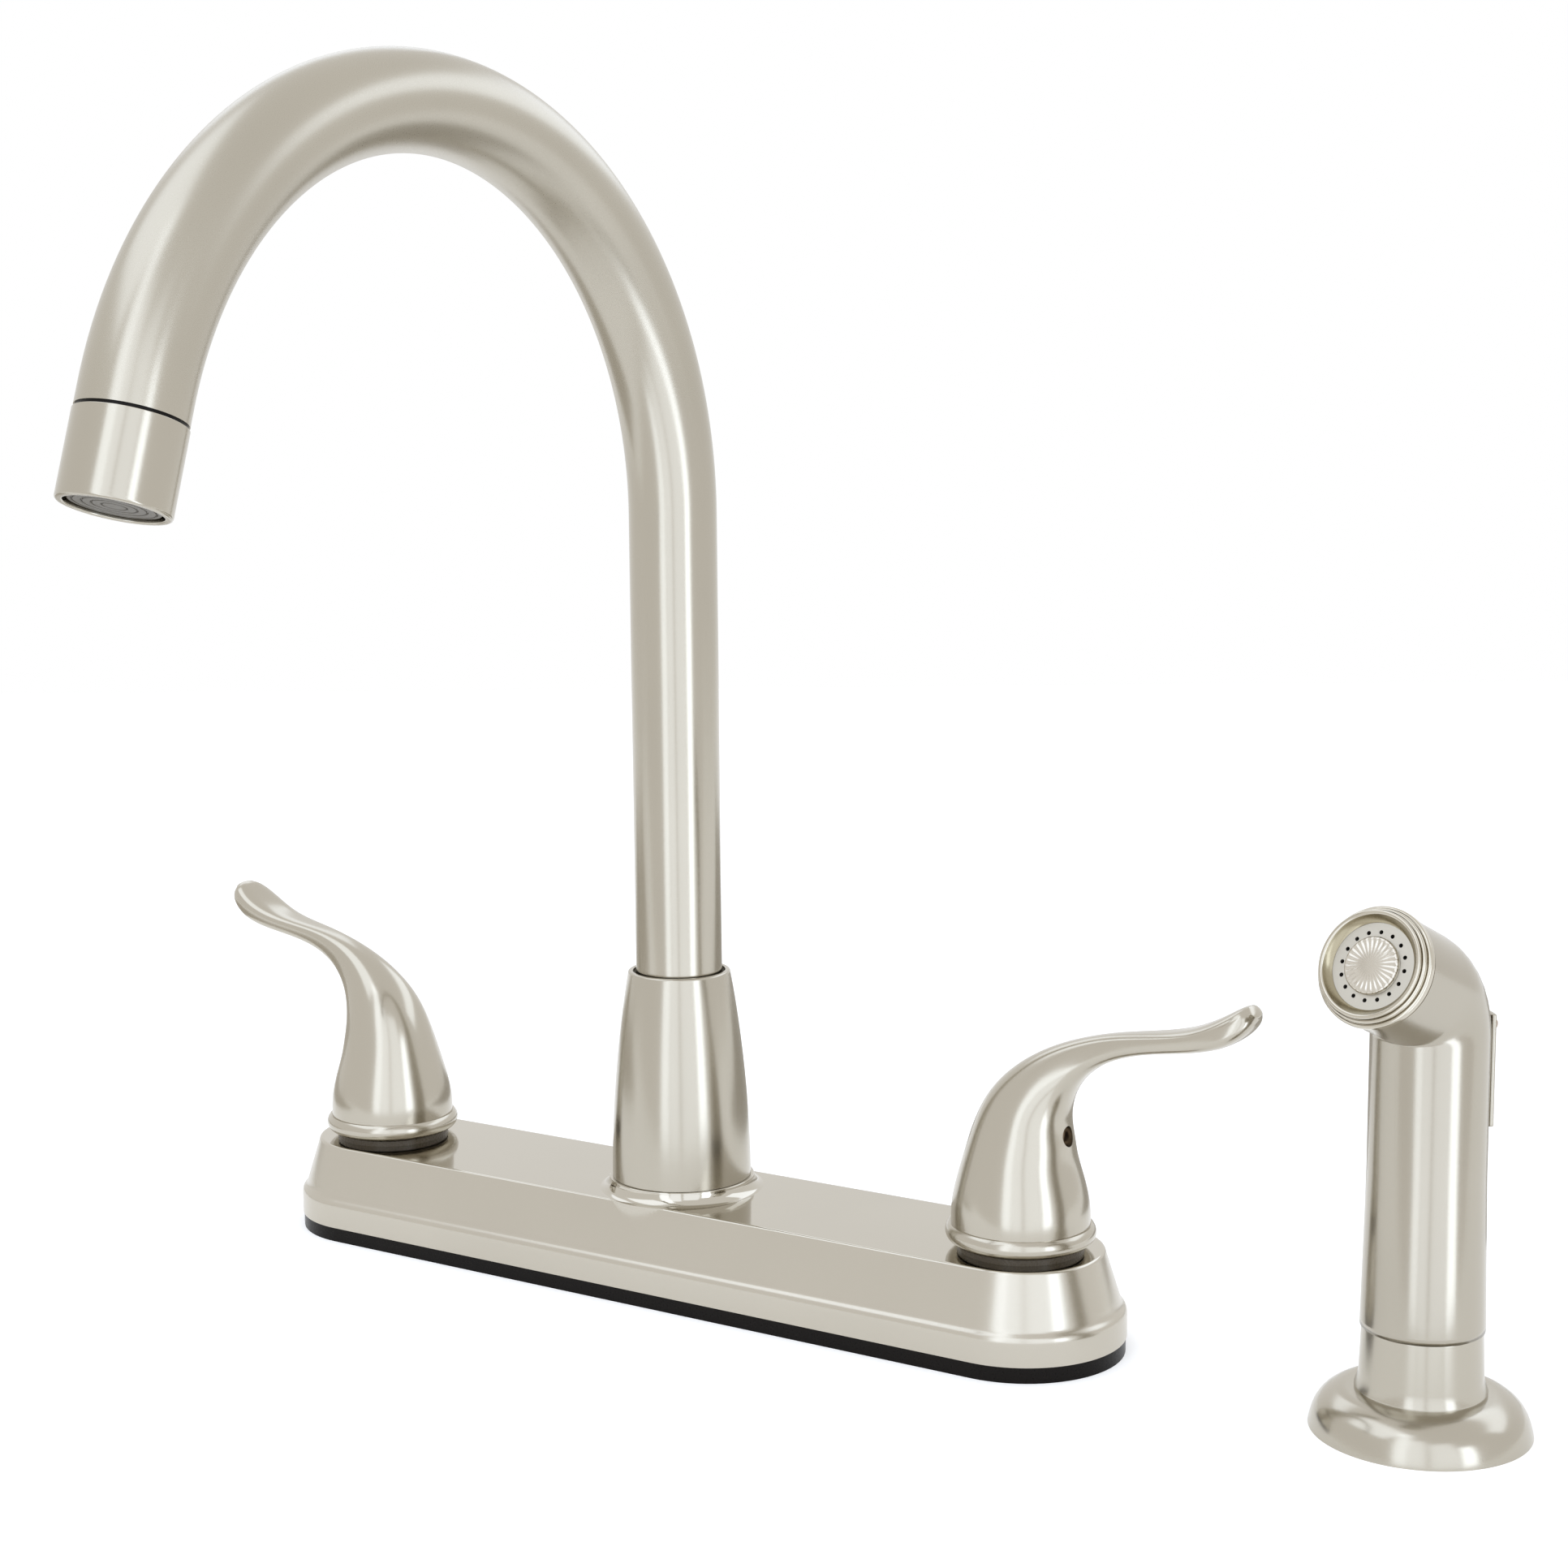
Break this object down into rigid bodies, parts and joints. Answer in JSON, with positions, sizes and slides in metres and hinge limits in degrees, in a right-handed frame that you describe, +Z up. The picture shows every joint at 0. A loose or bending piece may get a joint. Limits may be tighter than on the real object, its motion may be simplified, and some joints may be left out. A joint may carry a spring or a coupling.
{
  "type": "side spray kitchen faucet",
  "caption": "Two-handle kitchen faucet on a long deck plate: swivelling gooseneck spout, lever handles, and a trigger hand sprayer in its own deck holder.",
  "frame": {"origin": "on the deck's surface, under the middle of the deck plate, on the spout's axis", "axes": "+Z up; -Y towards the user, the way the spout points at rest; +X along the plate, from the hot valve to the cold valve and on to the sprayer"},
  "size_m": [0.3917, 0.2282, 0.3581],
  "materials": {
    "brushed_nickel": "satin brushed nickel plate, fine grain",
    "polished_nickel": "smooth polished nickel plate",
    "black_rubber": "moulded black rubber, slight sheen",
    "brass": "plain machined brass",
    "copper": "plain drawn copper",
    "steel": "plain stainless steel",
    "ceramic": "lapped white ceramic",
    "white_plastic": "moulded white plastic",
    "black_plastic": "moulded black plastic",
    "grey_plastic": "moulded grey plastic"
  },
  "bodies": {
    "deck_set": {"centre_body": "brass", "cold_bonnet_nut": "black_plastic", "cold_cartridge": "white_plastic", "cold_cross_tube": "copper", "cold_fixed_disc": "ceramic", "cold_seat_seal": "black_rubber", "cold_valve_body": "brass", "collar_seal": "black_rubber", "deck_gasket": "black_rubber", "deck_plate": "brushed_nickel", "holder_nut": "brass", "holder_washer": "steel", "hot_bonnet_nut": "black_plastic", "hot_cartridge": "white_plastic", "hot_cross_tube": "copper", "hot_fixed_disc": "ceramic", "hot_seat_seal": "black_rubber", "hot_valve_body": "brass", "mount_nuts": "brass", "mount_washers": "steel", "spout_collar": "brushed_nickel", "spout_guide": "white_plastic", "spray_flange": "brushed_nickel", "spray_holder": "brushed_nickel"},
    "hot_handle_set": {"hot_handle": "brushed_nickel", "hot_stem": "brass", "hot_moving_disc": "ceramic", "hot_set_screw": "steel"},
    "cold_handle_set": {"cold_handle": "brushed_nickel", "cold_stem": "brass", "cold_moving_disc": "ceramic", "cold_set_screw": "steel"},
    "spout_set": {"spout_base": "brass", "spout_rings": "black_rubber", "spout_tube": "brushed_nickel", "aerator_seal": "black_rubber", "aerator_housing": "brushed_nickel", "aerator_screen": "steel", "aerator_insert": "grey_plastic"},
    "diverter_piston": {"diverter": "grey_plastic"},
    "sprayer_set": {"sprayer_body": "brushed_nickel", "sprayer_bezel": "polished_nickel", "spray_face": "brushed_nickel", "spray_cap": "polished_nickel", "trigger_pin": "steel", "plunger_gland": "black_rubber", "hose_coupling": "brass"},
    "trigger_lever": {"trigger": "brushed_nickel"},
    "plunger_set": {"valve_plunger": "white_plastic", "valve_spring": "steel"}
  },
  "joints": [
    {"name": "spout_swivel", "type": "hinge", "parent": "deck_set", "child": "spout_set", "pos_m": [0, 0, 0.1], "axis": [0, 0, 1], "continuous": true},
    {"name": "hot_handle_turn", "type": "hinge", "parent": "deck_set", "child": "hot_handle_set", "pos_m": [-0.1016, 0, 0.03], "axis": [0, 0, 1], "range_deg": [0, 90]},
    {"name": "cold_handle_turn", "type": "hinge", "parent": "deck_set", "child": "cold_handle_set", "pos_m": [0.1016, 0, 0.03], "axis": [0, 0, 1], "range_deg": [-90, 0]},
    {"name": "diverter_shift", "type": "slide", "parent": "deck_set", "child": "diverter_piston", "axis": [0, 0, 1], "range_m": [0, 0.002]},
    {"name": "sprayer_lift", "type": "slide", "parent": "deck_set", "child": "sprayer_set", "axis": [0, 0, 1], "range_m": [0, 0.075]},
    {"name": "trigger_press", "type": "hinge", "parent": "sprayer_set", "child": "trigger_lever", "pos_m": [0.2054, 0.01037, 0.0935], "axis": [-0.9781, 0.2079, 0], "range_deg": [0, 3.89], "stiffness_Nm_per_rad": 0.4, "springref_deg": -5.73},
    {"name": "plunger_push", "type": "slide", "parent": "sprayer_set", "child": "plunger_set", "axis": [-0.2079, -0.9781, 0], "range_m": [0, 0.0008]}
  ],
  "couplings": [
    {"joint": "plunger_push", "follows": "trigger_press", "m_per_rad": 0.0115}
  ]
}
